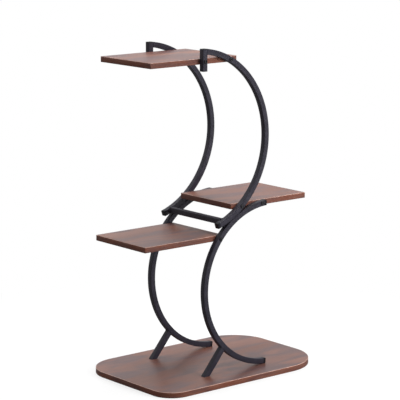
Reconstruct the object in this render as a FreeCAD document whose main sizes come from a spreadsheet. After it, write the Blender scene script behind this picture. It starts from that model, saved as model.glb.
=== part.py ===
import FreeCAD, Part
import math
import os
import Sketcher
from FreeCAD import Placement, Rotation, Vector

# A four-tier plant stand. +X runs along the base to the right, +Y to the back, +Z up, and the
# origin lies on the floor under the middle of the base. Two tube frames, one in front of the
# shelves and one behind them, are each an S of two arcs that touch: the lower arc opens to the
# right, and the upper one opens to the left and ends at the top in a short post.

doc = FreeCAD.newDocument("plant_stand")

# Driving sizes, in millimetres and degrees.
SIZES = {
    # Laminated boards, with a band glued round their edges.
    "board_thickness": 16,
    "band_thickness": 1,
    "base_length": 600,
    "base_depth": 402,
    "base_radius_front_left": 65,
    "base_radius_front_right": 137,
    "base_radius_back_right": 116,
    "base_radius_back_left": 104,
    "shelf_depth": 224,
    # A shelf's angle is where it meets its arc; its overhang is how far it goes on past the screw.
    "left_shelf_length": 278,
    "left_shelf_angle": 39.87,
    "left_shelf_overhang": 19.6,
    "right_shelf_length": 285,
    "right_shelf_overhang": 28.5,
    "top_shelf_length": 305,
    "top_shelf_angle": 62,
    "top_shelf_overhang": 33.1,
    # Square steel tube.
    "tube": 16,
    "tube_wall": 1.2,
    "tube_corner": 1,
    # Arcs: outer radii, and the slope of the line from the lower centre to the upper one.
    "lower_arc_x": 130,
    "lower_arc_radius": 242,
    "lower_arc_end_angle": 4,
    "upper_arc_radius": 262,
    "arc_lean": 121.5,
    "upper_arc_tail_angle": 71.2,
    # Straight tubes: the post at the top, the brace from the base and the bar between the frames.
    "post_offset": 26.3,
    "post_drop": 19,
    "brace_reach": 230,
    "brace_angle": 50,
    "crossbar_angle": 67,
    "weld_gap": 0.2,
    # Moulded plugs that close the open tube ends.
    "cap_length": 8,
    "post_cap_length": 2,
    "plug_length": 5,
    "plug_clearance": 0.2,
    # Screws, and the threaded pieces that they go into.
    "screw_diameter": 6,
    "screw_head_diameter": 11,
    "screw_head_height": 3,
    "screw_tip_gap": 1,
    "hole_clearance": 0.3,
    "thread_clearance": 0.2,
    "insert_diameter": 10,
    "insert_length": 13,
    "insert_clearance": 0.15,
    "head_screw_setback": 8.7,
    "foot_screw_setback": 15.7,
    "base_screw_grip": 6,
    "counterbore_diameter": 15,
    "counterbore_depth": 6,
    "washer_diameter": 14,
    "washer_thickness": 1,
    "nut_flange_diameter": 9.2,
    "nut_flange_thickness": 1.5,
    "nut_diameter": 8.4,
    "nut_length": 11,
    "foot_plate_thickness": 5,
}

# Sizes that follow from the driving ones.
BOARD = "Sizes.board_thickness"
TUBE = "Sizes.tube"
HALF_DEPTH = "(Sizes.shelf_depth / 2)"
FRAME_Y = "((Sizes.shelf_depth + Sizes.tube) / 2)"
INNER_TUBE = "(Sizes.tube - 2 * Sizes.tube_wall)"
LOWER_MID = "(Sizes.lower_arc_radius - Sizes.tube / 2)"
UPPER_MID = "(Sizes.upper_arc_radius - Sizes.tube / 2)"
ARC_SPACING = "(Sizes.lower_arc_radius + Sizes.upper_arc_radius)"
LOWER_X = "Sizes.lower_arc_x"
LOWER_Z = "(Sizes.board_thickness + Sizes.lower_arc_radius)"
UPPER_X = f"({LOWER_X} + {ARC_SPACING} * cos(Sizes.arc_lean))"
UPPER_Z = f"({LOWER_Z} + {ARC_SPACING} * sin(Sizes.arc_lean))"
END_ANGLE = "Sizes.lower_arc_end_angle"
TUBE_HOLE = "(Sizes.screw_diameter + 2 * Sizes.hole_clearance)"
THREAD_HOLE = "(Sizes.screw_diameter + 2 * Sizes.thread_clearance)"
INSERT_HOLE = "(Sizes.insert_diameter + 2 * Sizes.insert_clearance)"
NUT_HOLE = "(Sizes.nut_diameter + 2 * Sizes.hole_clearance)"

# Screw places: where each tube's middle line passes the middle of a shelf's edge, and near the
# ends of the lower arcs.
LEFT_SCREW_X = f"({LOWER_X} - {LOWER_MID} * cos(Sizes.left_shelf_angle))"
LEFT_SHELF_MID = f"({LOWER_Z} + {LOWER_MID} * sin(Sizes.left_shelf_angle))"
RIGHT_SHELF_MID = f"({LOWER_Z} + Sizes.lower_arc_radius - {BOARD} / 2)"
MIDDLE_SCREW_X = f"({UPPER_X} + sqrt(pow({UPPER_MID}; 2) - pow({RIGHT_SHELF_MID} - {UPPER_Z}; 2)))"
TOP_SCREW_X = f"({UPPER_X} + {UPPER_MID} * cos(Sizes.top_shelf_angle))"
TOP_SHELF_MID = f"({UPPER_Z} + {UPPER_MID} * sin(Sizes.top_shelf_angle))"
HEAD_SCREW_X = f"({LOWER_X} - {LOWER_MID} * sin({END_ANGLE}) - Sizes.head_screw_setback)"
FOOT_SCREW_X = f"({LOWER_X} - {LOWER_MID} * sin({END_ANGLE}) - Sizes.foot_screw_setback)"

# Where each shelf starts, at its left end, and where the straight tubes stand.
LEFT_SHELF_START = f"({LEFT_SCREW_X} + Sizes.left_shelf_overhang - Sizes.left_shelf_length)"
RIGHT_SHELF_START = f"({MIDDLE_SCREW_X} - Sizes.right_shelf_overhang)"
TOP_SHELF_START = f"({TOP_SCREW_X} + Sizes.top_shelf_overhang - Sizes.top_shelf_length)"
POST_X = f"({UPPER_X} + Sizes.post_offset)"
POST_FACE_X = f"({POST_X} + {TUBE} / 2)"
POST_FOOT_Z = f"({TOP_SHELF_MID} - {BOARD} / 2 - Sizes.post_drop)"
POST_HEAD_Z = (
    f"({UPPER_Z} + sqrt(pow(Sizes.upper_arc_radius; 2) - pow({POST_FACE_X} - {UPPER_X}; 2)))"
)
BRACE_FOOT_X = f"({LOWER_X} - Sizes.brace_reach)"

# Screws, sleeves and the holes for them are drawn with this many flats each.
ROUND_FLATS = 12

sheet = doc.addObject("Spreadsheet::Sheet", "Sizes")
for row, (alias, size) in enumerate(SIZES.items(), start=1):
    sheet.set(f"A{row}", alias)
    sheet.set(f"B{row}", str(size))
    sheet.setAlias(f"B{row}", alias)
doc.recompute()

sub_parts = []


def new_body(label, x="0", y="0", z="0"):
    body = doc.addObject("PartDesign::Body", label)
    body.Label = label
    place(body, x, y, z)
    return body


def place(thing, x, y, z, axis=Vector(0, 0, 1), turn=None):
    """Ties a placement to the sizes: its base, and its turn about an axis, in degrees."""
    if turn is not None:
        thing.Placement = Placement(Vector(0, 0, 0), Rotation(axis, 1))
        thing.setExpression("Placement.Rotation.Angle", turn)
    thing.setExpression("Placement.Base.x", x)
    thing.setExpression("Placement.Base.y", y)
    thing.setExpression("Placement.Base.z", z)


def origin_plane(body, role):
    return next(plane for plane in body.Origin.OriginFeatures if plane.Role == role)


def new_sketch(body, name, role, lift="0"):
    sketch = body.newObject("Sketcher::SketchObject", name)
    sketch.AttachmentSupport = [(origin_plane(body, role), "")]
    sketch.MapMode = "FlatFace"
    sketch.setExpression("AttachmentOffset.Base.z", lift)
    return sketch


def dimension(sketch, kind, *where, size):
    """Adds a dimension whose value comes from the sheet."""
    number = sheet.evalExpression(size)
    index = sketch.addConstraint(Sketcher.Constraint(kind, *where, number))
    sketch.setExpression(f"Constraints[{index}]", size)


def polygon(sketch, corners):
    first = sketch.GeometryCount
    count = len(corners)
    points = [Vector(*(sheet.evalExpression(size) for size in corner), 0) for corner in corners]
    for step in range(count):
        sketch.addGeometry(Part.LineSegment(points[step], points[(step + 1) % count]))
    for step, (x, y) in enumerate(corners):
        line, following = first + step, first + (step + 1) % count
        sketch.addConstraint(Sketcher.Constraint("Coincident", line, 2, following, 1))
        dimension(sketch, "DistanceX", -1, 1, line, 1, size=x)
        dimension(sketch, "DistanceY", -1, 1, line, 1, size=y)


def rectangle(sketch, left, right, low, high):
    polygon(sketch, [(left, low), (right, low), (right, high), (left, high)])


def rounded_rectangle(sketch, left, right, low, high, radii):
    """A rectangle whose corners have their own radii, from the low left one anticlockwise."""
    first = sketch.GeometryCount
    x0, x1, y0, y1 = (sheet.evalExpression(size) for size in (left, right, low, high))
    r = [sheet.evalExpression(radius) for radius in radii]
    sides = [
        (Vector(x0 + r[0], y0, 0), Vector(x1 - r[1], y0, 0)),
        (Vector(x1, y0 + r[1], 0), Vector(x1, y1 - r[2], 0)),
        (Vector(x1 - r[2], y1, 0), Vector(x0 + r[3], y1, 0)),
        (Vector(x0, y1 - r[3], 0), Vector(x0, y0 + r[0], 0)),
    ]
    for start, end in sides:
        sketch.addGeometry(Part.LineSegment(start, end))
    centres = [
        Vector(x1 - r[1], y0 + r[1], 0),
        Vector(x1 - r[2], y1 - r[2], 0),
        Vector(x0 + r[3], y1 - r[3], 0),
        Vector(x0 + r[0], y0 + r[0], 0),
    ]
    quarter = math.pi / 2
    for step, centre in enumerate(centres):
        whole = Part.Circle(centre, Vector(0, 0, 1), r[(step + 1) % 4])
        start = (step - 1) * quarter
        sketch.addGeometry(Part.ArcOfCircle(whole, start, start + quarter))
    for step in range(4):
        side, corner, next_side = first + step, first + 4 + step, first + (step + 1) % 4
        sketch.addConstraint(Sketcher.Constraint("Tangent", side, 2, corner, 1))
        sketch.addConstraint(Sketcher.Constraint("Tangent", corner, 2, next_side, 1))
        sketch.addConstraint(Sketcher.Constraint(("Horizontal", "Vertical")[step % 2], side))
        dimension(sketch, "Radius", corner, size=radii[(step + 1) % 4])
    dimension(sketch, "DistanceY", -1, 1, first, 1, size=low)
    dimension(sketch, "DistanceX", -1, 1, first + 1, 1, size=right)
    dimension(sketch, "DistanceY", -1, 1, first + 2, 1, size=high)
    dimension(sketch, "DistanceX", -1, 1, first + 3, 1, size=left)


def circle(sketch, x, y, diameter):
    centre = Vector(sheet.evalExpression(x), sheet.evalExpression(y), 0)
    radius = sheet.evalExpression(diameter) / 2
    index = sketch.addGeometry(Part.Circle(centre, Vector(0, 0, 1), radius))
    dimension(sketch, "DistanceX", -1, 1, index, 3, size=x)
    dimension(sketch, "DistanceY", -1, 1, index, 3, size=y)
    dimension(sketch, "Diameter", index, size=diameter)


def small_round(sketch, x, y, diameter):
    """A small round outline drawn as equal flats, whose corners lie on the circle."""
    first = sketch.GeometryCount
    centre = Vector(sheet.evalExpression(x), sheet.evalExpression(y), 0)
    arm = Vector(sheet.evalExpression(diameter) / 2, 0, 0)
    flats = range(ROUND_FLATS)
    turns = [Rotation(Vector(0, 0, 1), 360 * step / ROUND_FLATS) for step in flats]
    corners = [centre + turn.multVec(arm) for turn in turns]
    for step in flats:
        sketch.addGeometry(Part.LineSegment(corners[step], corners[(step + 1) % ROUND_FLATS]))
    guide = sketch.addGeometry(Part.Circle(centre, Vector(0, 0, 1), arm.x), True)
    for step in flats:
        flat, following = first + step, first + (step + 1) % ROUND_FLATS
        sketch.addConstraint(Sketcher.Constraint("Coincident", flat, 2, following, 1))
        sketch.addConstraint(Sketcher.Constraint("PointOnObject", flat, 1, guide))
        if step:
            sketch.addConstraint(Sketcher.Constraint("Equal", first, flat))
    sketch.addConstraint(Sketcher.Constraint("Horizontal", guide, 3, first, 1))
    dimension(sketch, "DistanceX", -1, 1, guide, 3, size=x)
    dimension(sketch, "DistanceY", -1, 1, guide, 3, size=y)
    dimension(sketch, "Diameter", guide, size=diameter)


def pad(body, sketch, length, side="One side", back=False):
    feature = body.newObject("PartDesign::Pad", sketch.Name + "_pad")
    feature.Profile = sketch
    feature.SideType = side
    feature.Reversed = back
    feature.setExpression("Length", length)
    doc.recompute()
    return feature


def revolve(body, sketch, angle="360"):
    feature = body.newObject("PartDesign::Revolution", sketch.Name + "_turn")
    feature.Profile = sketch
    feature.ReferenceAxis = (sketch, ["V_Axis"])
    feature.setExpression("Angle", angle)
    doc.recompute()
    return feature


def cut(body, sketch, depth=None, ahead=False):
    """Cuts to a depth behind or ahead of the sketch, or right through on both sides of it."""
    before = body.Shape.Volume
    feature = body.newObject("PartDesign::Pocket", sketch.Name + "_cut")
    feature.Profile = sketch
    if depth is None:
        feature.Type = "ThroughAll"
        feature.SideType = "Symmetric"
    else:
        feature.Reversed = ahead
        feature.setExpression("Length", depth)
    doc.recompute()
    if not body.Shape.Volume < before:
        raise RuntimeError(f"{feature.Name} cuts nothing")
    return feature


def mirror_back(body, feature):
    """Repeats a feature of the front edge on the back edge."""
    mirror = body.newObject("PartDesign::Mirrored", feature.Name + "_back")
    mirror.Originals = [feature]
    mirror.MirrorPlane = (origin_plane(body, "XZ_Plane"), [""])
    body.Tip = mirror
    doc.recompute()


def copy_of(thing, name, x, y, z, axis=Vector(0, 0, 1), turn=None):
    link = doc.addObject("App::Link", name)
    link.LinkedObject = thing
    link.LinkTransform = False
    place(link, x, y, z, axis, turn)
    return link


def group(label, members):
    """One sub-part of several separate solids, such as a set of like screws."""
    compound = doc.addObject("Part::Compound", label)
    compound.Label = label
    compound.Links = members
    sub_parts.append(compound)


def eased_square(sketch, left, right):
    """The tube's outer section, from left to right, with each corner eased by a flat."""
    ease = "Sizes.tube_corner"
    low, high = f"-{TUBE} / 2", f"{TUBE} / 2"
    polygon(
        sketch,
        [
            (f"{left} + {ease}", low), (f"{right} - {ease}", low),
            (right, f"{low} + {ease}"), (right, f"{high} - {ease}"),
            (f"{right} - {ease}", high), (f"{left} + {ease}", high),
            (left, f"{high} - {ease}"), (left, f"{low} + {ease}"),
        ],
    )


def tube_profile(sketch, left, right):
    """The tube's section from left to right, with its bore."""
    eased_square(sketch, left, right)
    bore_left = f"{left} + Sizes.tube_wall"
    bore_right = f"{right} - Sizes.tube_wall"
    rectangle(sketch, bore_left, bore_right, f"-{INNER_TUBE} / 2", f"{INNER_TUBE} / 2")


# Base board: a laminated panel whose four corners each have their own radius. Four counterbored
# holes under it take the screws that hold the frames.
BASE_RADII = [
    "Sizes.base_radius_front_left",
    "Sizes.base_radius_front_right",
    "Sizes.base_radius_back_right",
    "Sizes.base_radius_back_left",
]


def base_outline(sketch, inset):
    half_length = f"(Sizes.base_length / 2 - {inset})"
    half_depth = f"(Sizes.base_depth / 2 - {inset})"
    radii = [f"{radius} - {inset}" for radius in BASE_RADII]
    rounded_rectangle(
        sketch, f"-{half_length}", half_length, f"-{half_depth}", half_depth, radii
    )


base_board = new_body("base_board")
outline = new_sketch(base_board, "base_outline", "XY_Plane")
base_outline(outline, "Sizes.band_thickness")
pad(base_board, outline, BOARD)
for name, diameter, depth in (
    ("base_counterbores", "Sizes.counterbore_diameter", "Sizes.counterbore_depth"),
    ("base_screw_holes", TUBE_HOLE, BOARD),
):
    holes = new_sketch(base_board, name, "XY_Plane")
    for x in (FOOT_SCREW_X, BRACE_FOOT_X):
        for y in (f"-{FRAME_Y}", FRAME_Y):
            small_round(holes, x, y, diameter)
    cut(base_board, holes, depth, ahead=True)
sub_parts.append(base_board)

base_band = new_body("base_edge_band")
ring = new_sketch(base_band, "base_band_ring", "XY_Plane")
base_outline(ring, "0")
base_outline(ring, "Sizes.band_thickness")
pad(base_band, ring, BOARD)
sub_parts.append(base_band)


# Shelves: each is a laminated panel with four strips glued on its edges. Threaded inserts sit in
# holes in its front and back edges, one behind each screw.
def sleeve(name, length, outer, bore):
    """A short tube, such as an insert or a washer, that stands on the origin."""
    body = new_body(name)
    section = new_sketch(body, f"{name}_section", "XY_Plane")
    small_round(section, "0", "0", outer)
    small_round(section, "0", "0", bore)
    pad(body, section, length)
    return body


def screw(name, reach):
    """A screw whose head stands on the origin, and whose shank goes down by reach."""
    body = new_body(name)
    head = new_sketch(body, f"{name}_head", "XY_Plane")
    small_round(head, "0", "0", "Sizes.screw_head_diameter")
    pad(body, head, "Sizes.screw_head_height")
    shank = new_sketch(body, f"{name}_shank", "XY_Plane")
    small_round(shank, "0", "0", "Sizes.screw_diameter")
    pad(body, shank, reach, back=True)
    return body


insert = sleeve("threaded_insert", "Sizes.insert_length", "Sizes.insert_diameter", THREAD_HOLE)
shelf_screw = screw("shelf_screw", f"{TUBE} + Sizes.insert_length - Sizes.screw_tip_gap")


def shelf(name, start, length, screws_x, screw_z):
    bottom = f"({screw_z} - {BOARD} / 2)"
    band = "Sizes.band_thickness"
    board = new_body(f"{name}_board", start, "0", bottom)
    outline = new_sketch(board, f"{name}_outline", "XY_Plane")
    inner_depth = f"({HALF_DEPTH} - {band})"
    rectangle(outline, band, f"{length} - {band}", f"-{inner_depth}", inner_depth)
    pad(board, outline, BOARD)
    holes = new_sketch(board, f"{name}_insert_holes", "XZ_Plane", inner_depth)
    for x in screws_x:
        small_round(holes, f"{x} - {start}", f"{screw_z} - {bottom}", INSERT_HOLE)
    mirror_back(board, cut(board, holes, f"Sizes.insert_length - {band}"))
    sub_parts.append(board)

    long_strip = new_body(f"{name}_long_strip", start, f"{band} - {HALF_DEPTH}", bottom)
    face = new_sketch(long_strip, f"{name}_long_strip_face", "XZ_Plane")
    rectangle(face, "0", length, "0", BOARD)
    for x in screws_x:
        small_round(face, f"{x} - {start}", f"{screw_z} - {bottom}", INSERT_HOLE)
    pad(long_strip, face, band)
    strips = [long_strip, copy_of(long_strip, f"{name}_back_strip", start, HALF_DEPTH, bottom)]
    for end, x in (("left", start), ("right", f"{start} + {length} - {band}")):
        strip = doc.addObject("Part::Box", f"{name}_{end}_strip")
        strip.setExpression("Length", band)
        strip.setExpression("Width", f"2 * {inner_depth}")
        strip.setExpression("Height", BOARD)
        place(strip, x, f"-{inner_depth}", bottom)
        strips.append(strip)
    group(f"{name}_edge_bands", strips)

    # The insert's axis starts along +Z and is turned to run into the edge, front and back.
    inserts = []
    screws = []
    for number, x in enumerate(screws_x, start=1):
        for side, sign, turned in (("front", "-", Vector(-1, 0, 0)), ("back", "", Vector(1, 0, 0))):
            tag = f"{name}_{side}_{number}"
            face_y = f"{sign}{HALF_DEPTH}"
            inserts.append(copy_of(insert, f"{tag}_insert", x, face_y, screw_z, turned, "90"))
            head_y = f"{sign}({HALF_DEPTH} + {TUBE})"
            outward = turned * -1
            screws.append(copy_of(shelf_screw, f"{tag}_screw", x, head_y, screw_z, outward, "90"))
    group(f"{name}_inserts", inserts)
    group(f"{name}_screws", screws)


shelf(
    "left_shelf", LEFT_SHELF_START, "Sizes.left_shelf_length", [LEFT_SCREW_X], LEFT_SHELF_MID
)
shelf(
    "right_shelf", RIGHT_SHELF_START, "Sizes.right_shelf_length",
    [MIDDLE_SCREW_X, HEAD_SCREW_X], RIGHT_SHELF_MID,
)
shelf(
    "top_shelf", TOP_SHELF_START, "Sizes.top_shelf_length", [POST_X, TOP_SCREW_X], TOP_SHELF_MID
)


# Frames. The section of each arc is drawn at its own end, turned to the arc's start, and swept
# round the arc's centre. All four arcs are bent from the same square tube.
def arc(label, centre_x, centre_y, centre_z, radius, start, sweep, screws):
    """A bent tube that starts at an angle above +X and runs clockwise, seen from the front."""
    body = new_body(label, centre_x, centre_y, centre_z)
    section = new_sketch(body, f"{label}_section", "XY_Plane")
    section.AttachmentOffset = Placement(Vector(0, 0, 0), Rotation(Vector(0, -1, 0), 1))
    section.setExpression("AttachmentOffset.Rotation.Angle", start)
    tube_profile(section, f"{radius} - {TUBE}", radius)
    revolve(body, section, sweep)
    holes = new_sketch(body, f"{label}_screw_holes", "XZ_Plane")
    for x, z in screws:
        small_round(holes, f"{x} - {centre_x}", f"{z} - {centre_z}", TUBE_HOLE)
    cut(body, holes)
    return body


for side, frame_y in (("front", f"-{FRAME_Y}"), ("rear", FRAME_Y)):
    # Lower arc: it opens to the right, stands on the base and ends level with the right shelf.
    lower_arc = arc(
        f"{side}_lower_arc", LOWER_X, frame_y, LOWER_Z, "Sizes.lower_arc_radius",
        f"270 - {END_ANGLE}", f"180 - 2 * {END_ANGLE}",
        [(LEFT_SCREW_X, LEFT_SHELF_MID), (HEAD_SCREW_X, RIGHT_SHELF_MID)],
    )
    nut_hole = new_sketch(lower_arc, f"{side}_nut_hole", "XY_Plane", f"-{LOWER_MID}")
    small_round(nut_hole, f"{FOOT_SCREW_X} - {LOWER_X}", "0", NUT_HOLE)
    cut(lower_arc, nut_hole, TUBE)
    sub_parts.append(lower_arc)

    # Upper arc: it opens to the left, touches the lower one and butts against the post.
    upper_arc = arc(
        f"{side}_upper_arc", UPPER_X, frame_y, UPPER_Z, "Sizes.upper_arc_radius",
        "90", "90 + Sizes.upper_arc_tail_angle",
        [(MIDDLE_SCREW_X, RIGHT_SHELF_MID), (TOP_SCREW_X, TOP_SHELF_MID)],
    )
    butt = new_sketch(upper_arc, f"{side}_butt_cut", "XZ_Plane")
    rectangle(
        butt, f"-{TUBE}", f"{POST_FACE_X} - {UPPER_X}",
        f"Sizes.upper_arc_radius - 2 * {TUBE}", f"Sizes.upper_arc_radius + {TUBE}",
    )
    cut(upper_arc, butt)
    sub_parts.append(upper_arc)

    # Post: a short upright tube, plugged at both ends, that hangs past the top shelf.
    post_height = f"({POST_HEAD_Z} - {POST_FOOT_Z} - 2 * Sizes.post_cap_length)"
    post_z = f"({POST_FOOT_Z} + Sizes.post_cap_length)"
    post = new_body(f"{side}_post", POST_X, frame_y, post_z)
    section = new_sketch(post, f"{side}_post_section", "XY_Plane")
    tube_profile(section, f"-{TUBE} / 2", f"{TUBE} / 2")
    pad(post, section, post_height)
    hole = new_sketch(post, f"{side}_post_screw_hole", "XZ_Plane")
    small_round(hole, "0", f"{TOP_SHELF_MID} - {post_z}", TUBE_HOLE)
    cut(post, hole)
    sub_parts.append(post)

    # Brace: a sloping tube, cut level where it stands on the base and coped to fit the lower arc.
    brace = new_body(f"{side}_brace", BRACE_FOOT_X, frame_y, BOARD)
    section = new_sketch(brace, f"{side}_brace_section", "XY_Plane")
    section.AttachmentOffset = Placement(Vector(0, 0, 0), Rotation(Vector(0, 1, 0), 1))
    section.setExpression("AttachmentOffset.Rotation.Angle", "90 - Sizes.brace_angle")
    tube_profile(section, f"-{TUBE} / 2", f"{TUBE} / 2")
    stock = "Sizes.lower_arc_radius"
    pad(brace, section, f"2 * {stock}", "Symmetric")
    level = new_sketch(brace, f"{side}_brace_foot", "XZ_Plane")
    rectangle(level, f"-2 * {stock}", stock, f"-2 * {stock}", "0")
    cut(brace, level)
    cope = new_sketch(brace, f"{side}_brace_cope", "XZ_Plane")
    circle(
        cope, f"{LOWER_X} - {BRACE_FOOT_X}", f"{LOWER_Z} - {BOARD}",
        "2 * (Sizes.lower_arc_radius + Sizes.weld_gap)",
    )
    cut(brace, cope)
    sub_parts.append(brace)

# Crossbar: one straight tube between the two upper arcs, just above the left shelf.
crossbar = new_body(
    "crossbar",
    f"{UPPER_X} + {UPPER_MID} * cos(Sizes.crossbar_angle)", "0",
    f"{UPPER_Z} - {UPPER_MID} * sin(Sizes.crossbar_angle)",
)
section = new_sketch(crossbar, "crossbar_section", "XZ_Plane")
tube_profile(section, f"-{TUBE} / 2", f"{TUBE} / 2")
pad(crossbar, section, "Sizes.shelf_depth", "Symmetric")
sub_parts.append(crossbar)


# End caps: a block flush with the tube and a plug that is pushed into its bore. The block is on
# the +X side of the origin, and the plug on the other.
def end_cap(name, length):
    cap = new_body(name)
    block = new_sketch(cap, f"{name}_block", "YZ_Plane")
    eased_square(block, f"-{TUBE} / 2", f"{TUBE} / 2")
    pad(cap, block, length)
    plug = new_sketch(cap, f"{name}_plug", "YZ_Plane")
    half_plug = f"({INNER_TUBE} / 2 - Sizes.plug_clearance)"
    rectangle(plug, f"-{half_plug}", half_plug, f"-{half_plug}", half_plug)
    pad(cap, plug, "Sizes.plug_length", back=True)
    return cap


arc_cap = end_cap("arc_cap", "Sizes.cap_length")
post_cap = end_cap("post_cap", "Sizes.post_cap_length")
TAIL_ANGLE = "Sizes.upper_arc_tail_angle"
UP = Vector(0, -1, 0)
DOWN = Vector(0, 1, 0)
CAPS = {
    "arc_head_caps": (
        arc_cap, f"{LOWER_X} - {LOWER_MID} * sin({END_ANGLE})",
        f"{LOWER_Z} + {LOWER_MID} * cos({END_ANGLE})", UP, END_ANGLE,
    ),
    "arc_foot_caps": (
        arc_cap, f"{LOWER_X} - {LOWER_MID} * sin({END_ANGLE})",
        f"{LOWER_Z} - {LOWER_MID} * cos({END_ANGLE})", DOWN, END_ANGLE,
    ),
    "arc_tail_caps": (
        arc_cap, f"{UPPER_X} + {UPPER_MID} * cos({TAIL_ANGLE})",
        f"{UPPER_Z} - {UPPER_MID} * sin({TAIL_ANGLE})", DOWN, f"90 + {TAIL_ANGLE}",
    ),
    "post_head_caps": (post_cap, POST_X, f"{POST_HEAD_Z} - Sizes.post_cap_length", UP, "90"),
    "post_foot_caps": (post_cap, POST_X, f"{POST_FOOT_Z} + Sizes.post_cap_length", DOWN, "90"),
}
for label, (cap, x, z, axis, turn) in CAPS.items():
    front = copy_of(cap, f"{label}_front", x, f"-{FRAME_Y}", z, axis, turn)
    rear = copy_of(cap, f"{label}_rear", x, FRAME_Y, z, axis, turn)
    group(label, [front, rear])


# Base fixings: screws from below, each with a washer in its counterbore. They go up into rivet
# nuts in the feet of the lower arcs and into plates welded in the feet of the braces.
HEAD_SEAT_Z = "(Sizes.counterbore_depth - Sizes.washer_thickness)"
base_screw = screw("base_screw", f"{BOARD} - {HEAD_SEAT_Z} + Sizes.base_screw_grip")
washer = sleeve("washer", "Sizes.washer_thickness", "Sizes.washer_diameter", TUBE_HOLE)

rivet_nut = sleeve("rivet_nut", "Sizes.nut_length", "Sizes.nut_diameter", THREAD_HOLE)
flange = new_sketch(rivet_nut, "rivet_nut_flange", "XY_Plane")
small_round(flange, "0", "0", "Sizes.nut_flange_diameter")
small_round(flange, "0", "0", THREAD_HOLE)
pad(rivet_nut, flange, "Sizes.nut_flange_thickness")

foot_plate = new_body("foot_plate")
section = new_sketch(foot_plate, "foot_plate_section", "XZ_Plane")
plate = "Sizes.foot_plate_thickness"
half_bore = f"({INNER_TUBE} / 2 - Sizes.plug_clearance)"
half_plate = f"({half_bore} / sin(Sizes.brace_angle))"
shift = f"({plate} / tan(Sizes.brace_angle))"
polygon(
    section,
    [
        (f"-{half_plate}", "0"), (half_plate, "0"),
        (f"{half_plate} + {shift}", plate), (f"{shift} - {half_plate}", plate),
    ],
)
pad(foot_plate, section, f"2 * {half_bore}", "Symmetric")
hole = new_sketch(foot_plate, "foot_plate_hole", "XY_Plane")
small_round(hole, "0", "0", THREAD_HOLE)
cut(foot_plate, hole)

FIXINGS = {
    "base_screws": (base_screw, [FOOT_SCREW_X, BRACE_FOOT_X], HEAD_SEAT_Z),
    "base_washers": (washer, [FOOT_SCREW_X, BRACE_FOOT_X], HEAD_SEAT_Z),
    "arc_rivet_nuts": (rivet_nut, [FOOT_SCREW_X], BOARD),
    "brace_foot_plates": (foot_plate, [BRACE_FOOT_X], BOARD),
}
for label, (piece, places_x, z) in FIXINGS.items():
    members = []
    for x in places_x:
        for frame_y in (f"-{FRAME_Y}", FRAME_Y):
            axis, turn = (Vector(1, 0, 0), "180") if piece is base_screw else (Vector(0, 0, 1), None)
            members.append(copy_of(piece, f"{label}_{len(members) + 1}", x, frame_y, z, axis, turn))
    group(label, members)

doc.recompute()
for thing in doc.Objects:
    if "Invalid" in thing.State or "Error" in thing.State:
        raise RuntimeError(f"{thing.Label} failed: {thing.State}")
for node in sub_parts:
    if node.Shape.isNull() or not node.Shape.isValid():
        raise RuntimeError(f"{node.Label} has no valid shape")

os.makedirs("parts", exist_ok=True)
for node in sub_parts:
    node.Shape.exportStep(f"parts/{node.Label}.step")
    print(node.Label, len(node.Shape.Solids), "solids")
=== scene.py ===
import math

import bmesh
import bpy
from mathutils import Matrix, Vector


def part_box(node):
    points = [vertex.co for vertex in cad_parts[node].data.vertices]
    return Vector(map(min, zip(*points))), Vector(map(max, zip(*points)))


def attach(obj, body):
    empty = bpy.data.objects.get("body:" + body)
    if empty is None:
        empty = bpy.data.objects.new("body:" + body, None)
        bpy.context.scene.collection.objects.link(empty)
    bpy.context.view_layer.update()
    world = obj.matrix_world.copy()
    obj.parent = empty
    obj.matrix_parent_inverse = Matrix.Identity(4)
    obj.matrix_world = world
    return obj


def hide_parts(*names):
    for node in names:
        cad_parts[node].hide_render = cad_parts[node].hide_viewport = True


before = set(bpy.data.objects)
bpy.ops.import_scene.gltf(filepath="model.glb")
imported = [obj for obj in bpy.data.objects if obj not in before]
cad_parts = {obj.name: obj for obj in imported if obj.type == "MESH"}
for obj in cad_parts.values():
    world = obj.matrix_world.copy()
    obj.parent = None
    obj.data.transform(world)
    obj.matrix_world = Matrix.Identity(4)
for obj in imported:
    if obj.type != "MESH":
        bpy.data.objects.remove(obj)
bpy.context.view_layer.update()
MM = 0.001

# Base: a laminated particleboard panel whose corners are cut to four different radii. It is
# pressed with a walnut foil on both faces, routed to shape, and bored from below for the screws.
BOARD = 16 * MM
BASE_LENGTH = 600 * MM
BASE_DEPTH = 402 * MM
BASE_RADII = {(-1, -1): 65 * MM, (1, -1): 137 * MM, (1, 1): 116 * MM, (-1, 1): 104 * MM}
CORNER_STEPS = 20
BAND = 1 * MM
SCREW_HOLE_RADIUS = 3.3 * MM
COUNTERBORE_RADIUS = 7.5 * MM
COUNTERBORE_DEPTH = 6 * MM
FOOT_SCREW_X = 97.98 * MM
BRACE_FOOT_X = -100 * MM
FRAME_Y = 120 * MM
SIDES = {"front": -1, "rear": 1}
HAIR = 0.01 * MM
SQUARELY = 0.9
CREASE = 30
STREAK = (0.270, 0.150, 0.112, 1)
PORE = (0.045, 0.020, 0.013, 1)


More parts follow.
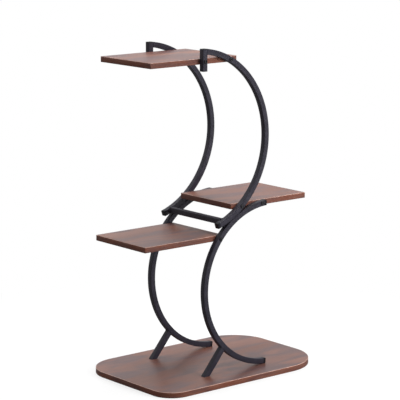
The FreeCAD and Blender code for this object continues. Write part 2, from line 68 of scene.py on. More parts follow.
class Wire:
    """A value that runs through a finish's nodes; sums on wires add the nodes for them."""

    def __init__(self, tree, output):
        self.tree = tree
        self.output = output

    def node(self, kind, inputs, out=0, **settings):
        """Adds a node: its settings first, then the values or links of its sockets."""
        made = self.tree.nodes.new(kind)
        for name, setting in settings.items():
            setattr(made, name, setting)
        for name, given in inputs.items():
            if isinstance(given, Wire):
                self.tree.links.new(given.output, made.inputs[name])
            else:
                made.inputs[name].default_value = given
        return Wire(self.tree, made.outputs[out])

    def calculate(self, operation, first, second):
        return self.node("ShaderNodeMath", {0: first, 1: second}, operation=operation)

    def __add__(self, other):
        return self.calculate("ADD", self, other)

    __radd__ = __add__

    def __sub__(self, other):
        return self.calculate("SUBTRACT", self, other)

    def __rsub__(self, other):
        return self.calculate("SUBTRACT", other, self)

    def __mul__(self, other):
        return self.calculate("MULTIPLY", self, other)

    __rmul__ = __mul__

    def stretched(self, x, y, z):
        return self.node("ShaderNodeMapping", {"Vector": self, "Scale": (x, y, z)})

    def noise(self, scale, detail=2.0, roughness=0.5, distortion=0.0):
        sockets = {"Vector": self, "Scale": scale, "Detail": detail}
        sockets |= {"Roughness": roughness, "Distortion": distortion}
        return self.node("ShaderNodeTexNoise", sockets)

    def between(self, low, high):
        """Spreads the part of a value from low to high over 0 to 1."""
        sockets = {"Value": self, "From Min": low, "From Max": high}
        return self.node("ShaderNodeMapRange", sockets, interpolation_type="SMOOTHSTEP")

    def tint(self, first, second):
        """A colour that goes from the first to the second as the value goes from 0 to 1."""
        sockets = {0: self, 6: first, 7: second}
        return self.node("ShaderNodeMix", sockets, out=2, data_type="RGBA")

    def bump(self, height, strength):
        """The normal of a surface that the value raises by up to a height."""
        sockets = {"Height": self, "Distance": height, "Strength": strength}
        return self.node("ShaderNodeBump", sockets)

    def feeds(self, shader, socket):
        self.tree.links.new(self.output, shader.inputs[socket])


def new_finish(name, roughness, metallic=0.0, specular=0.5):
    """A new finish; returns it with its shader and the wire of its Object coordinates."""
    finish = bpy.data.materials.new(name)
    finish.use_nodes = True
    shader = finish.node_tree.nodes["Principled BSDF"]
    shader.inputs["Roughness"].default_value = roughness
    shader.inputs["Metallic"].default_value = metallic
    shader.inputs["Specular IOR Level"].default_value = specular
    coordinates = finish.node_tree.nodes.new("ShaderNodeTexCoord")
    return finish, shader, Wire(finish.node_tree, coordinates.outputs["Object"])


def give_finish(piece, *finishes):
    piece.data.materials.clear()
    for finish in finishes:
        piece.data.materials.append(finish)


def walnut_foil(name, along, across, heartwood, sapwood, smoke, specular):
    """Walnut foil under a satin film: broad smoky figure, fibres and fine dark pores."""
    finish, shader, place = new_finish(name, 0.36, specular=specular)
    figure = place.stretched(*along).noise(1.0, 3.0, 0.55, 0.7).between(0.40, 0.62)
    clouds = place.stretched(*(0.45 * scale for scale in along)).noise(1.0, 1.0).between(0.4, 0.65)
    fibres = place.stretched(*across).noise(1.0, 4.0, 0.6, 0.25)
    pores = place.stretched(*(2.3 * scale for scale in across)).noise(1.0).between(0.60, 0.72)
    smoky = figure.tint(clouds.tint(heartwood, sapwood), smoke)
    streaked = (fibres.between(0.38, 0.72) * 0.4).tint(smoky, STREAK)
    (pores * 0.5).tint(streaked, PORE).feeds(shader, "Base Color")
    (0.30 + fibres * 0.12).feeds(shader, "Roughness")
    (fibres * 0.6 + (1 - pores) * 0.4).bump(0.06 * MM, 0.35).feeds(shader, "Normal")
    return finish


board_foil = walnut_foil(
    "walnut foil", along=(5.0, 17.0, 17.0), across=(14.0, 420.0, 420.0),
    heartwood=(0.152, 0.051, 0.032, 1), sapwood=(0.218, 0.090, 0.064, 1),
    smoke=(0.100, 0.051, 0.054, 1), specular=0.5,
)
edge_foil = walnut_foil(
    "walnut edge band", along=(9.0, 9.0, 60.0), across=(22.0, 22.0, 900.0),
    heartwood=(0.166, 0.054, 0.034, 1), sapwood=(0.206, 0.080, 0.055, 1),
    smoke=(0.116, 0.049, 0.042, 1), specular=0.15,
)


def start_piece(name, add, stretch=(1, 1, 1), **where):
    """Adds a primitive, opens it for editing and stretches it to its size about its place."""
    bpy.ops.object.select_all(action="DESELECT")
    add(**where)
    piece = bpy.context.object
    piece.name = piece.data.name = name
    bpy.ops.object.transform_apply(location=True, rotation=True, scale=True)
    bpy.ops.object.mode_set(mode="EDIT")
    bpy.ops.transform.resize(value=stretch, center_override=where.get("location", (0, 0, 0)))
    return piece


def pick(kind, test):
    """Selects the vertices, edges or faces of the open piece that pass a test, and no others."""
    bpy.ops.mesh.select_mode(type=kind)
    bpy.ops.mesh.select_all(action="DESELECT")
    mesh = bmesh.from_edit_mesh(bpy.context.object.data)
    parts = {"VERT": mesh.verts, "EDGE": mesh.edges, "FACE": mesh.faces}[kind]
    for part in parts:
        if test(part):
            part.select_set(True)
    mesh.select_flush_mode()
    bmesh.update_edit_mesh(bpy.context.object.data)


def push(vector):
    """Extrudes what is selected by a vector."""
    bpy.ops.mesh.extrude_region_move(TRANSFORM_OT_translate={"value": vector})


def face_outward():
    """Turns all faces of the open piece outward."""
    bpy.ops.mesh.select_all(action="SELECT")
    bpy.ops.mesh.normals_make_consistent(inside=False)


def shade(crease=CREASE):
    """Shades the piece in hand smooth, but sharp where faces turn by more than the crease."""
    bpy.ops.object.shade_smooth_by_angle(angle=math.radians(crease))


def finish_piece(piece, finish, slot, *nodes, crease=CREASE):
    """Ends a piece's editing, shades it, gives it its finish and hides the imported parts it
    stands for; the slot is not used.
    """
    face_outward()
    bpy.ops.object.mode_set(mode="OBJECT")
    shade(crease)
    if finish:
        give_finish(piece, finish)
    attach(piece, "root")
    if nodes:
        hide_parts(*nodes)
    return piece


def bore(piece, place, radius, length, axis="Z", sides=48):
    """Cuts a round hole whose middle is at a place. The piece is in object mode."""
    bpy.ops.object.select_all(action="DESELECT")
    bpy.ops.mesh.primitive_cylinder_add(
        vertices=sides, radius=radius, depth=length, location=place,
        rotation=(math.pi / 2 if axis == "Y" else 0, 0, 0),
    )
    drill = bpy.context.object
    modifier = piece.modifiers.new("cut", "BOOLEAN")
    modifier.operation = "DIFFERENCE"
    modifier.solver = "EXACT"
    modifier.object = drill
    bpy.ops.object.select_all(action="DESELECT")
    bpy.context.view_layer.objects.active = piece
    piece.select_set(True)
    bpy.ops.object.modifier_apply(modifier=modifier.name)
    bpy.data.objects.remove(drill)


def draw_base_outline(name, inset):
    """The base's outline as one face on the floor, drawn in from the real edge by inset."""
    size = Vector((BASE_LENGTH - 2 * inset, BASE_DEPTH - 2 * inset, 0))
    outline = start_piece(name, bpy.ops.mesh.primitive_plane_add, (*size.xy, 1), size=1)
    for (side_x, side_y), radius in BASE_RADII.items():
        corner = Vector((side_x * size.x / 2, side_y * size.y / 2, 0))
        pick("VERT", lambda vertex: (vertex.co - corner).length < HAIR)
        bpy.ops.mesh.bevel(offset=radius - inset, segments=CORNER_STEPS, affect="VERTICES")
    pick("FACE", lambda face: True)
    return outline


base = draw_base_outline("base_panel", BAND)
push((0, 0, BOARD))
finish_piece(base, board_foil, "board", "base_board")
for x in (FOOT_SCREW_X, BRACE_FOOT_X):
    for sign in SIDES.values():
        bore(base, (x, sign * FRAME_Y, 0), COUNTERBORE_RADIUS, 2 * COUNTERBORE_DEPTH)
        bore(base, (x, sign * FRAME_Y, 0), SCREW_HOLE_RADIUS, 3 * BOARD)
shade()

# Base edge band: a 1 mm strip of walnut-printed plastic, glued hot round the routed edge. Its
# long edges are trimmed to a small radius. The upper one is coloured pale: partly the paler
# trimmed plastic, partly a painted highlight along the lit arris.
ARRIS = 0.8 * MM
BAND_CREASE = 50
painted_highlight_edge, shader, place = new_finish("trimmed band edge with painted highlight", 0.28)
# Painted highlight: these pale colours of the upper arris are partly trimmed plastic and partly
# painted light, mottled by noise.
scuffed_painted_highlight = place.noise(60.0, 3.0, 0.6).between(0.35, 0.7)
scuffed_painted_highlight.tint((0.720, 0.470, 0.390, 1), (0.480, 0.280, 0.215, 1)).feeds(shader, "Base Color")


def hollow_out(wall):
    """Leaves a ring of the picked face, as wide as the wall, and picks the ring."""
    bpy.ops.mesh.inset(thickness=wall)
    bpy.ops.mesh.delete(type="FACE")
    pick("FACE", lambda face: True)


def centre_of(edge):
    return (edge.verts[0].co + edge.verts[1].co) / 2


def round_arrises(ring, ring_centre):
    """Rounds a ring's outer edges. The upper one is coloured pale: partly the paler plastic under
    the print, partly a painted highlight.
    """
    give_finish(ring, edge_foil, painted_highlight_edge)

    def outer_arris(edge, above):
        ends = [vertex.co.z - ring_centre.z for vertex in edge.verts]
        if abs(ends[0] - ends[1]) > HAIR or (ends[0] > 0) != above:
            return False
        outward = [face.normal for face in edge.link_faces if abs(face.normal.z) < SQUARELY]
        return any(normal.dot(centre_of(edge) - ring_centre) > 0 for normal in outward)

    for above in (True, False):
        pick("EDGE", lambda edge: outer_arris(edge, above))
        bpy.ops.mesh.bevel(offset=ARRIS, segments=3, affect="EDGES", material=int(above))


base_band = draw_base_outline("base_edging", 0)
hollow_out(BAND)
push((0, 0, BOARD))
face_outward()
round_arrises(base_band, Vector((0, 0, BOARD / 2)))
finish_piece(base_band, None, "edge_band", "base_edge_band", crease=BAND_CREASE)

# Shelves: three panels of the same board, sawn square. Their four edges carry the same glued
# strip, and threaded steel inserts sit in holes in the front and back edges.
CORNER_EASE = 0.7 * MM
INSERT_HOLE_RADIUS = 5.15 * MM
INSERT_HOLE_DEPTH = 4 * MM
LEFT_SCREW = (-49.6 * MM, 408 * MM)
MIDDLE_SCREW = (28.54 * MM, 492 * MM)
HEAD_SCREW = (104.98 * MM, 492 * MM)
POST_SCREW = (-107.04 * MM, 912 * MM)
TOP_SCREW = (-14.09 * MM, 912 * MM)
SHELF_SCREWS = {
    "left_shelf": [LEFT_SCREW],
    "right_shelf": [MIDDLE_SCREW, HEAD_SCREW],
    "top_shelf": [POST_SCREW, TOP_SCREW],
}
for shelf, screws in SHELF_SCREWS.items():
    give_finish(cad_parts[f"{shelf}_board"], board_foil)
    low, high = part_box(f"{shelf}_edge_bands")
    middle, size = (low + high) / 2, high - low
    edging = start_piece(
        f"{shelf}_edging", bpy.ops.mesh.primitive_plane_add, (size.x, size.y, 1),
        size=1, location=(middle.x, middle.y, low.z),
    )
    hollow_out(BAND)
    push((0, 0, size.z))
    face_outward()

    def outer_corner(edge):
        upright = abs(edge.verts[0].co.z - edge.verts[1].co.z) > HAIR
        return upright and abs(abs(centre_of(edge).x - middle.x) - size.x / 2) < HAIR

    pick("EDGE", outer_corner)
    bpy.ops.mesh.bevel(offset=CORNER_EASE, segments=3, affect="EDGES")
    round_arrises(edging, middle)
    finish_piece(edging, None, "edge_band", f"{shelf}_edge_bands", crease=BAND_CREASE)
    for x, z in screws:
        for sign in SIDES.values():
            mouth = (x, sign * (middle.y + size.y / 2), z)
            bore(edging, mouth, INSERT_HOLE_RADIUS, 2 * INSERT_HOLE_DEPTH, axis="Y")
    shade(BAND_CREASE)

# Lower arcs: square steel tube with rounded corners, rolled to a curve and powder coated in
# satin black. Each stands on the base, holds the left shelf and ends at the right shelf's side.
TUBE = 16 * MM
TUBE_WALL = 1.2 * MM
TUBE_CORNER = 1.5 * MM
LOWER_CENTRE = Vector((130 * MM, 0, 258 * MM))
LOWER_RADIUS = 242 * MM
END_ANGLE = 4
ARC_STEPS = 120
FOOT_HOLE_RADIUS = 4.5 * MM
coating, shader, place = new_finish("satin black powder coat", 0.4, specular=0.3)
orange_peel = place.noise(900.0)
dust = place.noise(35.0, 3.0, 0.6).between(0.35, 0.75)
dust.tint((0.023, 0.021, 0.030, 1), (0.033, 0.030, 0.043, 1)).feeds(shader, "Base Color")
(0.38 + orange_peel * 0.14).feeds(shader, "Roughness")
orange_peel.bump(0.05 * MM, 0.4).feeds(shader, "Normal")


def tube_end(name, place, turn):
    """The cut end of a tube at a place, turned in radians, ready to be pushed or spun."""
    piece = start_piece(
        name, bpy.ops.mesh.primitive_plane_add, size=TUBE, location=place, rotation=turn
    )
    bpy.ops.mesh.bevel(offset=TUBE_CORNER, segments=4, affect="VERTICES")
    pick("FACE", lambda face: True)
    hollow_out(TUBE_WALL)
    return piece


def roll_tube(name, centre, radius, start, sweep):
    """A tube rolled round a centre, clockwise seen from the front, from an angle above +X."""
    angle = math.radians(start)
    outward = Vector((math.cos(angle), 0, math.sin(angle)))
    piece = tube_end(name, centre + outward * (radius - TUBE / 2), (0, -angle, 0))
    bpy.ops.mesh.spin(
        steps=ARC_STEPS, angle=-math.radians(sweep), center=centre, axis=(0, 1, 0)
    )
    return piece


def bore_across(tube, y, screws):
    """Bores a tube from front to back for the screws that hold the shelves."""
    for x, z in screws:
        bore(tube, (x, y, z), SCREW_HOLE_RADIUS, 3 * TUBE, axis="Y")


for side, sign in SIDES.items():
    centre = LOWER_CENTRE + Vector((0, sign * FRAME_Y, 0))
    arc = roll_tube(
        f"{side}_lower_tube", centre, LOWER_RADIUS, 270 - END_ANGLE, 180 - 2 * END_ANGLE
    )
    finish_piece(arc, coating, "coated_tube", f"{side}_lower_arc")
    bore_across(arc, centre.y, (LEFT_SCREW, HEAD_SCREW))
    bore(arc, (FOOT_SCREW_X, centre.y, BOARD), FOOT_HOLE_RADIUS, TUBE)
    shade()

# Upper arcs: the same tube, rolled a little wider. Each is welded to the lower arc where the
# two curves touch, and its top end butts against the post.
UPPER_CENTRE = Vector((-133.34 * MM, 0, 687.73 * MM))
UPPER_RADIUS = 262 * MM
TAIL_ANGLE = 71.2
POST_X = POST_SCREW[0]
POST_FACE_X = POST_X + TUBE / 2


def saw_off(place, kept_way):
    """Saws the open tube through at a place, keeps one way of it and closes the cut walls."""
    bpy.ops.mesh.select_all(action="SELECT")
    bpy.ops.mesh.bisect(plane_co=place, plane_no=kept_way, clear_inner=True, use_fill=False)
    pick("EDGE", lambda edge: edge.is_boundary)
    bpy.ops.mesh.bridge_edge_loops()


for side, sign in SIDES.items():
    centre = UPPER_CENTRE + Vector((0, sign * FRAME_Y, 0))
    arc = roll_tube(f"{side}_upper_tube", centre, UPPER_RADIUS, 90, 90 + TAIL_ANGLE)
    saw_off((POST_FACE_X, 0, 0), (1, 0, 0))
    finish_piece(arc, coating, "coated_tube", f"{side}_upper_arc")
    bore_across(arc, centre.y, (MIDDLE_SCREW, TOP_SCREW))
    shade()

# Posts: short straight lengths of the tube that hang past the top shelf, which a screw holds to
# them. Both ends are open cuts, closed by plugs.
for side, sign in SIDES.items():
    low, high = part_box(f"{side}_post")
    post = tube_end(f"{side}_post_tube", (POST_X, sign * FRAME_Y, low.z), (0, 0, 0))
    push((0, 0, high.z - low.z))
    finish_piece(post, coating, "coated_tube", f"{side}_post")
    bore_across(post, sign * FRAME_Y, (POST_SCREW,))
    shade()

# Braces: sloping lengths of the tube, sawn level where they stand on the base and coped to the
# curve of the lower arc, where they are welded.
BRACE_ANGLE = math.radians(50)
BRACE_BLANK = 170 * MM
SAW_WASTE = 30 * MM
WELD_GAP = 0.2 * MM
COPE_SIDES = 720
uphill = Vector((math.cos(BRACE_ANGLE), 0, math.sin(BRACE_ANGLE)))
square_on = (0, math.pi / 2 - BRACE_ANGLE, 0)
for side, sign in SIDES.items():
    foot = Vector((BRACE_FOOT_X, sign * FRAME_Y, BOARD))
    brace = tube_end(f"{side}_brace_tube", foot - uphill * SAW_WASTE, square_on)
    push(uphill * BRACE_BLANK)
    saw_off((0, 0, BOARD), (0, 0, 1))
    finish_piece(brace, coating, "coated_tube", f"{side}_brace")
    centre = LOWER_CENTRE + Vector((0, foot.y, 0))
    bore(brace, centre, LOWER_RADIUS + WELD_GAP, 3 * TUBE, "Y", COPE_SIDES)
    shade()

# Crossbar: one straight length of the tube, welded between the two upper arcs just above the
# left shelf, so that the frames stay the same distance apart.
low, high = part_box("crossbar")
bar_middle, bar_size = (low + high) / 2, high - low
crossbar = tube_end("crossbar_tube", (bar_middle.x, low.y, bar_middle.z), (-math.pi / 2, 0, 0))
push((0, bar_size.y, 0))
finish_piece(crossbar, coating, "coated_tube", "crossbar")

# Weld beads: short ripples of weld metal under the coating, where the arcs touch, where an upper
# arc meets its post, where a brace meets its arc, and round both ends of the crossbar.
BEAD_RADIUS = 1.7 * MM
BEAD_STANDOFF = 0.5 * MM
BEAD_CREASE = 60
END_WIDTHS = [0.45, 0.9]
RIPPLE_WIDTHS = [1.0, 0.86]
RIPPLE = 1.3 * MM
TOUCH_BEAD_OFFSET = 20 * MM


def lay_bead(start, end):
    """One straight bead with rounded ends, whose ripples are as long as they are in real welds."""
    way = end - start
    count = round(way.length / RIPPLE)
    widths = END_WIDTHS + RIPPLE_WIDTHS * (count // 2 - 1) + END_WIDTHS[::-1]
    steps = len(widths) - 1
    bead = start_piece(
        "weld_bead", bpy.ops.mesh.primitive_circle_add, vertices=16,
        radius=BEAD_RADIUS * widths[0], fill_type="NGON", location=start,
        rotation=way.to_track_quat("Z", "Y").to_euler(),
    )
    for step in range(1, steps + 1):
        push(way / steps)
        grow = widths[step] / widths[step - 1]
        reached = start + way * step / steps
        bpy.ops.transform.resize(value=(grow, grow, grow), center_override=reached)
    face_outward()
    bpy.ops.object.mode_set(mode="OBJECT")
    return bead


def join_pieces(name, pieces):
    """Makes one piece of several and opens it for editing."""
    bpy.ops.object.select_all(action="DESELECT")
    for piece in pieces:
        piece.select_set(True)
    bpy.context.view_layer.objects.active = pieces[0]
    bpy.ops.object.join()
    whole = bpy.context.object
    whole.name = whole.data.name = name
    bpy.ops.object.mode_set(mode="EDIT")
    return whole


lean = (UPPER_CENTRE - LOWER_CENTRE).normalized()
touch = LOWER_CENTRE + lean * LOWER_RADIUS
along_touch = Vector((lean.z, 0, -lean.x)) * TOUCH_BEAD_OFFSET
post_inner_z = UPPER_CENTRE.z + math.sqrt(
    (UPPER_RADIUS - TUBE) ** 2 - (POST_FACE_X - UPPER_CENTRE.x) ** 2
)
seams = [touch + along_touch, touch - along_touch]
seams.append(Vector((POST_FACE_X + BEAD_STANDOFF, 0, post_inner_z - BEAD_STANDOFF)))
across = Vector((-uphill.z, 0, uphill.x))
for edge in (-1, 1):
    reach = Vector((BRACE_FOOT_X, 0, BOARD)) + across * edge * TUBE / 2 - LOWER_CENTRE
    slope = reach.dot(uphill)
    length = -slope - math.sqrt(slope**2 - reach.length_squared + LOWER_RADIUS**2)
    seams.append(LOWER_CENTRE + reach + uphill * length)
half = Vector((0, TUBE / 2 - TUBE_CORNER, 0))
for side, sign in SIDES.items():
    shift = Vector((0, sign * FRAME_Y, 0))
    beads = [lay_bead(seam + shift - half, seam + shift + half) for seam in seams]
    welds = join_pieces(f"{side}_frame_welds", beads)
    finish_piece(welds, coating, "coated_tube", crease=BEAD_CREASE)

beads = []
for sign in SIDES.values():
    end = bar_middle + Vector((0, sign * (bar_size.y / 2 - BEAD_STANDOFF), 0))
    for out, run in (((1, 0, 0), (0, 0, 1)), ((0, 0, 1), (1, 0, 0))):
        for edge in (-1, 1):
            place = end + Vector(out) * edge * (TUBE / 2 + BEAD_STANDOFF)
            half = Vector(run) * (TUBE / 2 - TUBE_CORNER)
            beads.append(lay_bead(place - half, place + half))
welds = join_pieces("crossbar_welds", beads)
finish_piece(welds, coating, "coated_tube", crease=BEAD_CREASE)

# End plugs: black polyethylene mouldings pushed into the open tube ends. The block outside is
# flush with the tube, and a stub behind it grips the bore.
PLUG_CLEARANCE = 0.2 * MM
PLUG_EASE = 0.7 * MM
STUB = 5 * MM
ARC_CAP = 8 * MM
POST_CAP = 2 * MM
plastic, shader, place = new_finish("black moulded plug", 0.5, specular=0.25)
spark = place.noise(1500.0)
spark.tint((0.006, 0.006, 0.008, 1), (0.011, 0.011, 0.014, 1)).feeds(shader, "Base Color")
(0.44 + spark * 0.16).feeds(shader, "Roughness")
spark.bump(0.03 * MM, 0.4).feeds(shader, "Normal")


def mould_plug(name, length):
    """A plug whose outer face looks along +X and whose seam with the tube is at the origin."""
    plug = start_piece(
        name, bpy.ops.mesh.primitive_cube_add, (length, TUBE, TUBE), size=1,
        location=(length / 2, 0, 0),
    )
    pick("EDGE", lambda edge: abs(edge.verts[0].co.x - edge.verts[1].co.x) > HAIR)
    bpy.ops.mesh.bevel(offset=TUBE_CORNER, segments=4, affect="EDGES")
    pick("EDGE", lambda edge: min(vertex.co.x for vertex in edge.verts) > length - HAIR)
    bpy.ops.mesh.bevel(offset=PLUG_EASE, segments=3, affect="EDGES")
    pick("FACE", lambda face: face.normal.x < -SQUARELY)
    bpy.ops.mesh.inset(thickness=TUBE_WALL + PLUG_CLEARANCE)
    push((-STUB, 0, 0))
    bpy.ops.object.mode_set(mode="OBJECT")
    return plug


def set_out(model, name, placements, finish, slot, *nodes):
    """Copies a piece to each of its places, as one set that stands for a node."""
    copies = []
    for placement in placements:
        copy = model.copy()
        copy.data = model.data.copy()
        copy.data.transform(placement)
        bpy.context.scene.collection.objects.link(copy)
        copies.append(copy)
    return finish_piece(join_pieces(name, copies), finish, slot, *nodes)


def plug_placements(seam, tilt):
    """Where the front and rear plugs of a tube's end sit, tilted up from +X by an angle."""
    turn = Matrix.Rotation(-math.radians(tilt), 4, "Y")
    return [
        Matrix.Translation(seam + Vector((0, sign * FRAME_Y, 0))) @ turn for sign in SIDES.values()
    ]


arc_plug = mould_plug("arc_plug", ARC_CAP)
post_plug = mould_plug("post_plug", POST_CAP)
ARC_ENDS = {
    "arc_head": (LOWER_CENTRE, LOWER_RADIUS, 90 + END_ANGLE, END_ANGLE),
    "arc_foot": (LOWER_CENTRE, LOWER_RADIUS, -90 - END_ANGLE, -END_ANGLE),
    "arc_tail": (UPPER_CENTRE, UPPER_RADIUS, -TAIL_ANGLE, -90 - TAIL_ANGLE),
}
for end, (centre, radius, angle, tilt) in ARC_ENDS.items():
    outward = Vector((math.cos(math.radians(angle)), 0, math.sin(math.radians(angle))))
    places = plug_placements(centre + outward * (radius - TUBE / 2), tilt)
    set_out(arc_plug, f"{end}_plugs", places, plastic, "cap_plastic", f"{end}_caps")
low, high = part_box("front_post")
for end, z, tilt in (("post_head", high.z, 90), ("post_foot", low.z, -90)):
    places = plug_placements(Vector((POST_X, 0, z)), tilt)
    set_out(post_plug, f"{end}_plugs", places, plastic, "cap_plastic", f"{end}_caps")
bpy.data.objects.remove(arc_plug)
bpy.data.objects.remove(post_plug)

# Screws: M6 button heads in black-oxide steel with a hexagon socket. Those at the shelves go
# through the tubes into the inserts, and those under the base go up into the frames.
SCREW_RADIUS = 3 * MM
HEAD_RADIUS = 5.5 * MM
HEAD_HEIGHT = 3 * MM
HEAD_ROUND = 1.4 * MM
SOCKET_RADIUS = 2.3 * MM
SOCKET_DEPTH = 1.8 * MM
TIP = 0.6 * MM
TIP_TAPER = 0.8
SHELF_SCREW_REACH = 28 * MM
BASE_SCREW_REACH = 17 * MM
HEAD_SEAT_Z = 5 * MM
black_oxide, shader, place = new_finish("black oxide screw steel", 0.35, 0.85)
rub = place.noise(1800.0, 3.0, 0.6)
worn = rub.between(0.3, 0.8)
worn.tint((0.030, 0.030, 0.034, 1), (0.075, 0.073, 0.074, 1)).feeds(shader, "Base Color")
(0.28 + rub * 0.2).feeds(shader, "Roughness")


def turn_screw(name, reach):
    """A screw whose head stands on the origin and looks up, with its shank below."""
    screw = start_piece(
        name, bpy.ops.mesh.primitive_cylinder_add, vertices=40, radius=HEAD_RADIUS,
        depth=HEAD_HEIGHT, location=(0, 0, HEAD_HEIGHT / 2),
    )
    pick("EDGE", lambda edge: min(vertex.co.z for vertex in edge.verts) > HEAD_HEIGHT - HAIR)
    bpy.ops.mesh.bevel(offset=HEAD_ROUND, segments=5, affect="EDGES")
    pick("FACE", lambda face: face.normal.z < -SQUARELY)
    bpy.ops.mesh.inset(thickness=HEAD_RADIUS - SCREW_RADIUS)
    push((0, 0, TIP - reach))
    push((0, 0, -TIP))
    bpy.ops.transform.resize(value=(TIP_TAPER, TIP_TAPER, 1), center_override=(0, 0, -reach))
    face_outward()
    bpy.ops.object.mode_set(mode="OBJECT")
    bore(screw, (0, 0, HEAD_HEIGHT), SOCKET_RADIUS, 2 * SOCKET_DEPTH, sides=6)
    return screw


shelf_screw = turn_screw("shelf_screw", SHELF_SCREW_REACH)
for shelf, screws in SHELF_SCREWS.items():
    places = []
    for sign in SIDES.values():
        turn = Matrix.Rotation(-sign * math.pi / 2, 4, "X")
        seat = sign * (FRAME_Y + TUBE / 2)
        places += [Matrix.Translation((x, seat, z)) @ turn for x, z in screws]
    name = f"{shelf}_button_screws"
    set_out(shelf_screw, name, places, black_oxide, "black_screw", f"{shelf}_screws")
bpy.data.objects.remove(shelf_screw)

base_screw = turn_screw("base_screw", BASE_SCREW_REACH)
upside_down = Matrix.Rotation(math.pi, 4, "X")
seats = [
    Matrix.Translation((x, sign * FRAME_Y, HEAD_SEAT_Z))
    for x in (FOOT_SCREW_X, BRACE_FOOT_X) for sign in SIDES.values()
]
places = [seat @ upside_down for seat in seats]
set_out(base_screw, "base_button_screws", places, black_oxide, "black_screw", "base_screws")
bpy.data.objects.remove(base_screw)

# Zinc-plated steel: punched washers under the base screws' heads, and the threaded inserts,
# rivet nuts and foot plates that the screws go into.
WASHER_RADIUS = 7 * MM
WASHER = 1 * MM
WASHER_EDGE = 0.2 * MM
zinc, shader, place = new_finish("zinc-plated steel", 0.4, 1.0)
bloom = place.noise(700.0, 4.0, 0.65)
spangle = bloom.between(0.3, 0.7)
spangle.tint((0.56, 0.57, 0.58, 1), (0.70, 0.70, 0.68, 1)).feeds(shader, "Base Color")
(0.28 + bloom * 0.26).feeds(shader, "Roughness")
washer = start_piece(
    "washer", bpy.ops.mesh.primitive_cylinder_add, vertices=48, radius=WASHER_RADIUS,
    depth=WASHER, location=(0, 0, WASHER / 2),
)
pick("EDGE", lambda edge: abs(edge.verts[0].co.z - edge.verts[1].co.z) < HAIR)
bpy.ops.mesh.bevel(offset=WASHER_EDGE, segments=2, affect="EDGES")
bpy.ops.object.mode_set(mode="OBJECT")
bore(washer, (0, 0, 0), SCREW_HOLE_RADIUS, 4 * WASHER)
set_out(washer, "base_plain_washers", seats, zinc, "zinc_steel", "base_washers")
bpy.data.objects.remove(washer)
for node in ("arc_rivet_nuts", "brace_foot_plates"):
    give_finish(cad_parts[node], zinc)
for shelf in SHELF_SCREWS:
    give_finish(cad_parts[f"{shelf}_inserts"], zinc)

# Floor: a sweep of white paper that keeps a soft shadow. It glows towards the camera alone, and
# to the stand it is grey, so that it throws little light up at the boards.
FLOOR_GREY = (0.18, 0.18, 0.18, 1)
PAPER_WHITE = (0.85, 0.85, 0.85, 1)
floor = start_piece(
    "studio_floor", bpy.ops.mesh.primitive_plane_add, size=30, location=(0, 0, -0.4 * MM)
)
bpy.ops.object.mode_set(mode="OBJECT")
paper, shader, place = new_finish("white paper sweep", 0.9, specular=0.1)
give_finish(floor, paper)
tree = paper.node_tree
rays = Wire(tree, tree.nodes.new("ShaderNodeLightPath").outputs["Is Camera Ray"])
rays.tint(FLOOR_GREY, PAPER_WHITE).feeds(shader, "Base Color")
distance = place.node("ShaderNodeVectorMath", {0: place}, out="Value", operation="LENGTH")
glow = tree.nodes.new("ShaderNodeEmission")
blend = tree.nodes.new("ShaderNodeMixShader")
(rays * (0.72 + distance.between(0.45, 1.1) * 0.28)).feeds(blend, 0)
tree.links.new(shader.outputs[0], blend.inputs[1])
tree.links.new(glow.outputs[0], blend.inputs[2])
tree.links.new(blend.outputs[0], tree.nodes["Material Output"].inputs[0])

# Reflector: a white card that lies on the floor at the front right. The tubes and the boards'
# edges mirror it, but it lights nothing else, casts no shadow and stays out of the picture.
card = start_piece(
    "reflector_card", bpy.ops.mesh.primitive_plane_add, size=2.6, location=(2.4, -2.5, 2 * MM)
)
bpy.ops.object.mode_set(mode="OBJECT")
white_card, shader, place = new_finish("white reflector card", 0.8)
shader.inputs["Base Color"].default_value = (0.90, 0.91, 0.95, 1)
shader.inputs["Emission Color"].default_value = (0.9, 0.92, 1.0, 1)
shader.inputs["Emission Strength"].default_value = 1.1
give_finish(card, white_card)
card.visible_camera = False
card.visible_diffuse = False
card.visible_shadow = False

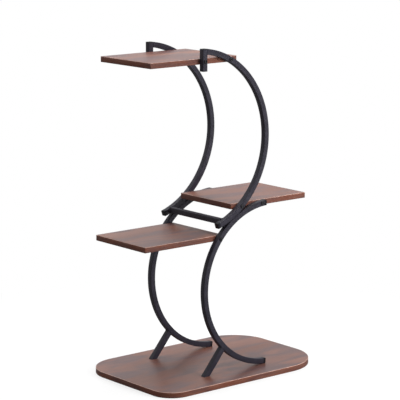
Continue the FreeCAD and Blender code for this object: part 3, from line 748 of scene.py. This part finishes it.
# Studio walls: pale ones, brightest behind the stand and a little brighter on the left than in
# front. The camera sees plain white instead.
BEHIND = (0.2, 1, 0)
LEFT = (-1, 0, 0)
world = bpy.data.worlds.new("studio")
bpy.context.scene.world = world
world.use_nodes = True
tree = world.node_tree
backdrop = tree.nodes["Background"]
rays = Wire(tree, tree.nodes.new("ShaderNodeLightPath").outputs["Is Camera Ray"])
way = Wire(tree, tree.nodes.new("ShaderNodeTexCoord").outputs["Generated"])
from_left, from_behind = (
    way.node("ShaderNodeVectorMath", {0: way, 1: side}, out="Value", operation="DOT_PRODUCT")
    for side in (LEFT, BEHIND)
)
walls = 0.34 + from_behind.between(0.1, 0.9) * 0.36 + from_left.between(0.3, 0.9) * 0.12
(rays + (1 - rays) * walls).feeds(backdrop, "Strength")
backdrop.inputs["Color"].default_value = (1, 1, 1, 1)


# Lamps: three large soft ones. The main one stands at the front right, one hangs overhead, and a
# weaker one at the back right lights the tops and the rear sides.
def soft_lamp(name, place, target, size, power, glossy):
    """A square area lamp that looks at a target. Shiny faces mirror it only if it is glossy."""
    lamp = bpy.data.lights.new(name, "AREA")
    lamp.shape = "SQUARE"
    lamp.size = size
    lamp.energy = power
    holder = bpy.data.objects.new(name, lamp)
    bpy.context.scene.collection.objects.link(holder)
    holder.location = place
    holder.rotation_euler = (Vector(target) - Vector(place)).to_track_quat("-Z", "Y").to_euler()
    holder.visible_camera = False
    holder.visible_glossy = glossy


soft_lamp("front_lamp", (1.5, -3.0, 1.3), (0, 0, 0.45), 1.6, 115, False)
soft_lamp("top_lamp", (0.2, 0.2, 3.2), (0, 0, 0.4), 2.0, 90, True)
soft_lamp("back_lamp", (1.6, 2.8, 1.8), (0, 0, 0.45), 1.8, 45, False)

# Camera: a long lens at the front left, half a metre above the top shelf and tilted down, so
# that the tops of all the boards show.
CAMERA_TILT = 10.807
CAMERA_TURN = 39.684
camera = bpy.data.objects.new("camera", bpy.data.cameras.new("camera"))
bpy.context.scene.collection.objects.link(camera)
bpy.context.scene.camera = camera
camera.data.sensor_width = 36
camera.data.lens = 168.885
camera.data.clip_end = 100
camera.location = (-3.390093, -4.061295, 1.504842)
camera.rotation_euler = (math.radians(90 - CAMERA_TILT), 0, math.radians(-CAMERA_TURN))
bpy.context.scene.view_settings.view_transform = "Standard"
